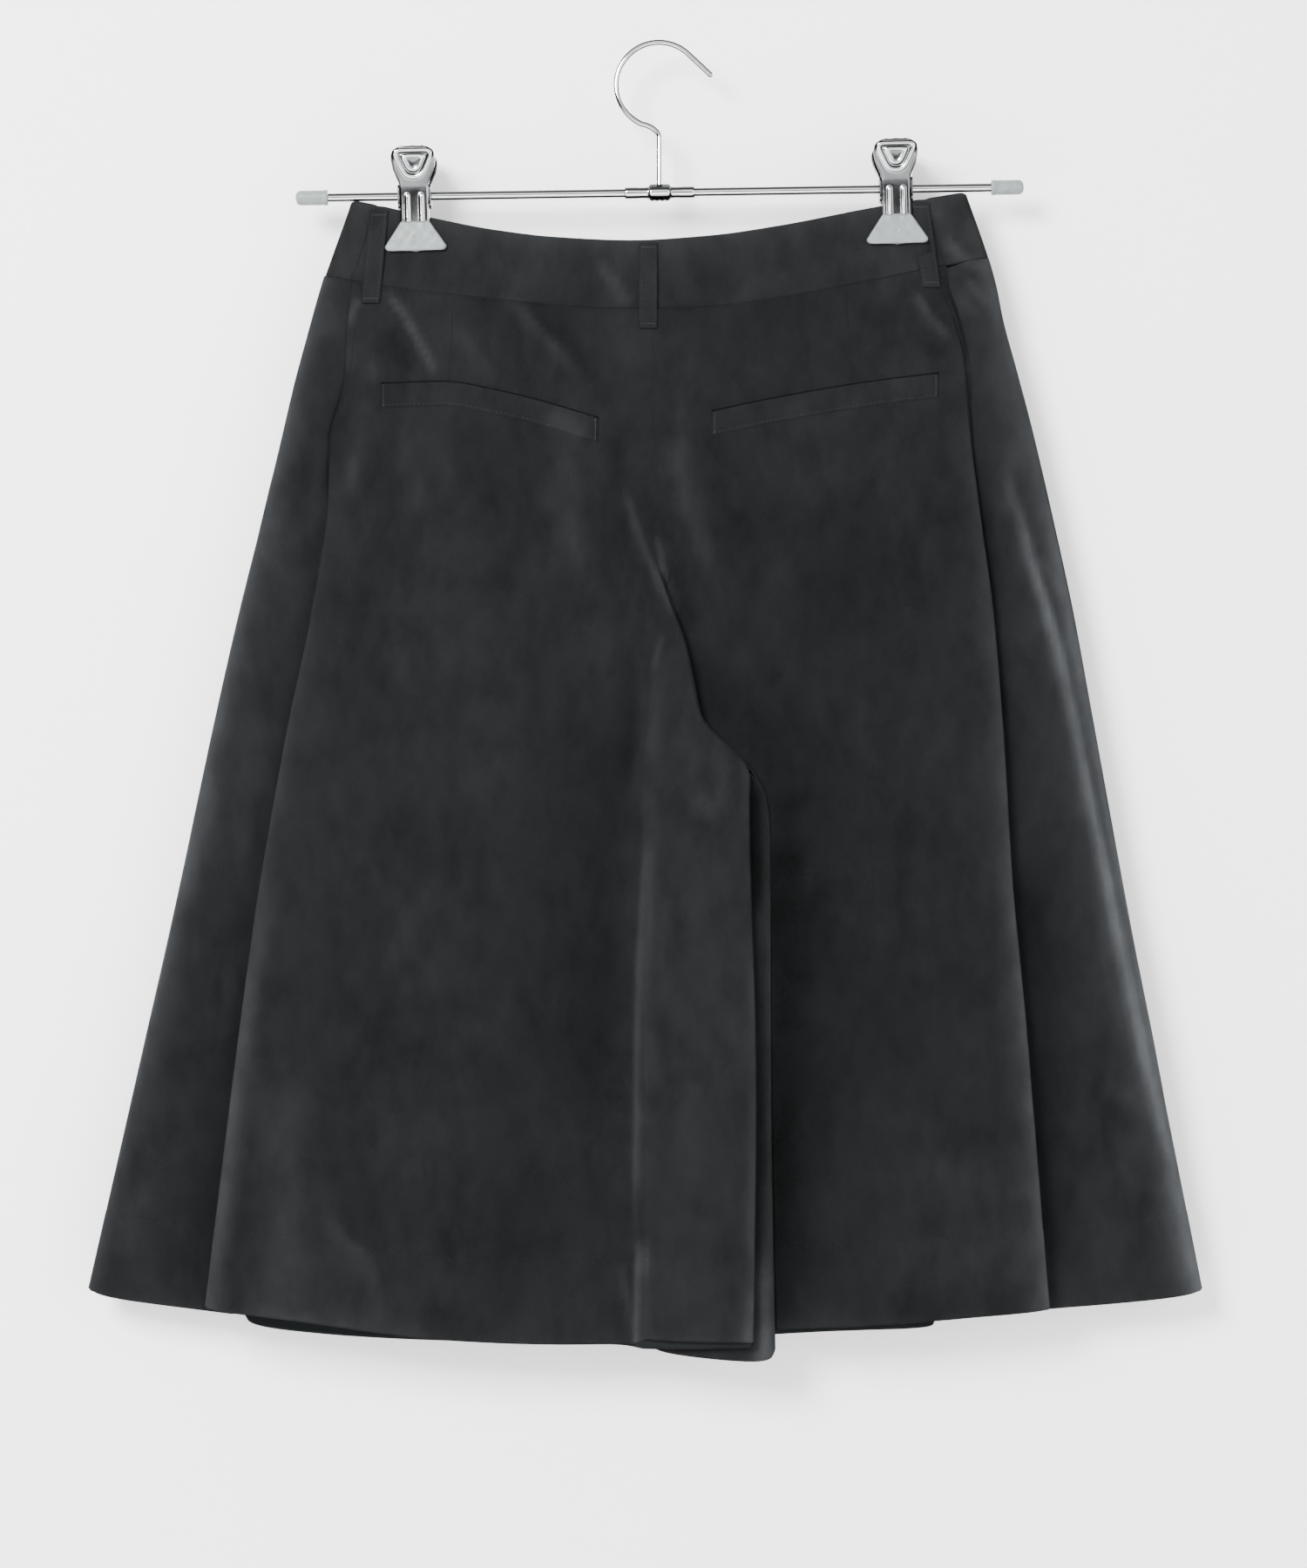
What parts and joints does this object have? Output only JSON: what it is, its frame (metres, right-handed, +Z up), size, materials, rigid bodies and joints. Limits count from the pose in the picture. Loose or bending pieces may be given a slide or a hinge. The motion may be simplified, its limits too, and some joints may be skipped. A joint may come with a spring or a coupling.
{
  "type": "culottes on a clip hanger",
  "caption": "Wide knee-length culottes in dark velvety cloth, folded over at the sides and fork, hanging by the waistband from a steel bar hanger with clips.",
  "frame": {"origin": "inner crown of the hook, where it rests on a rod or peg", "axes": "+Z up along the hanging height, +X to the right when the back of the culottes is seen from -Y, +Y from the back of the garment to its front"},
  "size_m": [0.6133, 0.0535, 0.7237],
  "materials": {
    "dark_velvety_cloth": "short matt pile",
    "dark_button": "satin",
    "bright_steel": "polished",
    "spring_steel": "drawn wire",
    "grey_soft_plastic": "matt"
  },
  "bodies": {
    "root": {"back_panel_left": "dark_velvety_cloth", "back_panel_right": "dark_velvety_cloth", "belt_loop_back": "dark_velvety_cloth", "belt_loop_front_left": "dark_velvety_cloth", "belt_loop_front_right": "dark_velvety_cloth", "belt_loop_side_left": "dark_velvety_cloth", "belt_loop_side_right": "dark_velvety_cloth", "clip_left_back_grip": "grey_soft_plastic", "clip_left_back_lever": "bright_steel", "clip_left_front_grip": "grey_soft_plastic", "clip_left_front_lever": "bright_steel", "clip_left_spring": "spring_steel", "clip_right_back_grip": "grey_soft_plastic", "clip_right_back_lever": "bright_steel", "clip_right_front_grip": "grey_soft_plastic", "clip_right_front_lever": "bright_steel", "clip_right_spring": "spring_steel", "front_panel_left": "dark_velvety_cloth", "front_panel_right": "dark_velvety_cloth", "hanger_bar": "bright_steel", "hanger_cap_left": "grey_soft_plastic", "hanger_cap_right": "grey_soft_plastic", "hanger_hook": "bright_steel", "hanger_joint": "bright_steel", "pocket_welt_left": "dark_velvety_cloth", "pocket_welt_right": "dark_velvety_cloth", "waist_button": "dark_button", "waistband_back": "dark_velvety_cloth", "waistband_front_left": "dark_velvety_cloth", "waistband_front_right": "dark_velvety_cloth"}
  },
  "joints": []
}
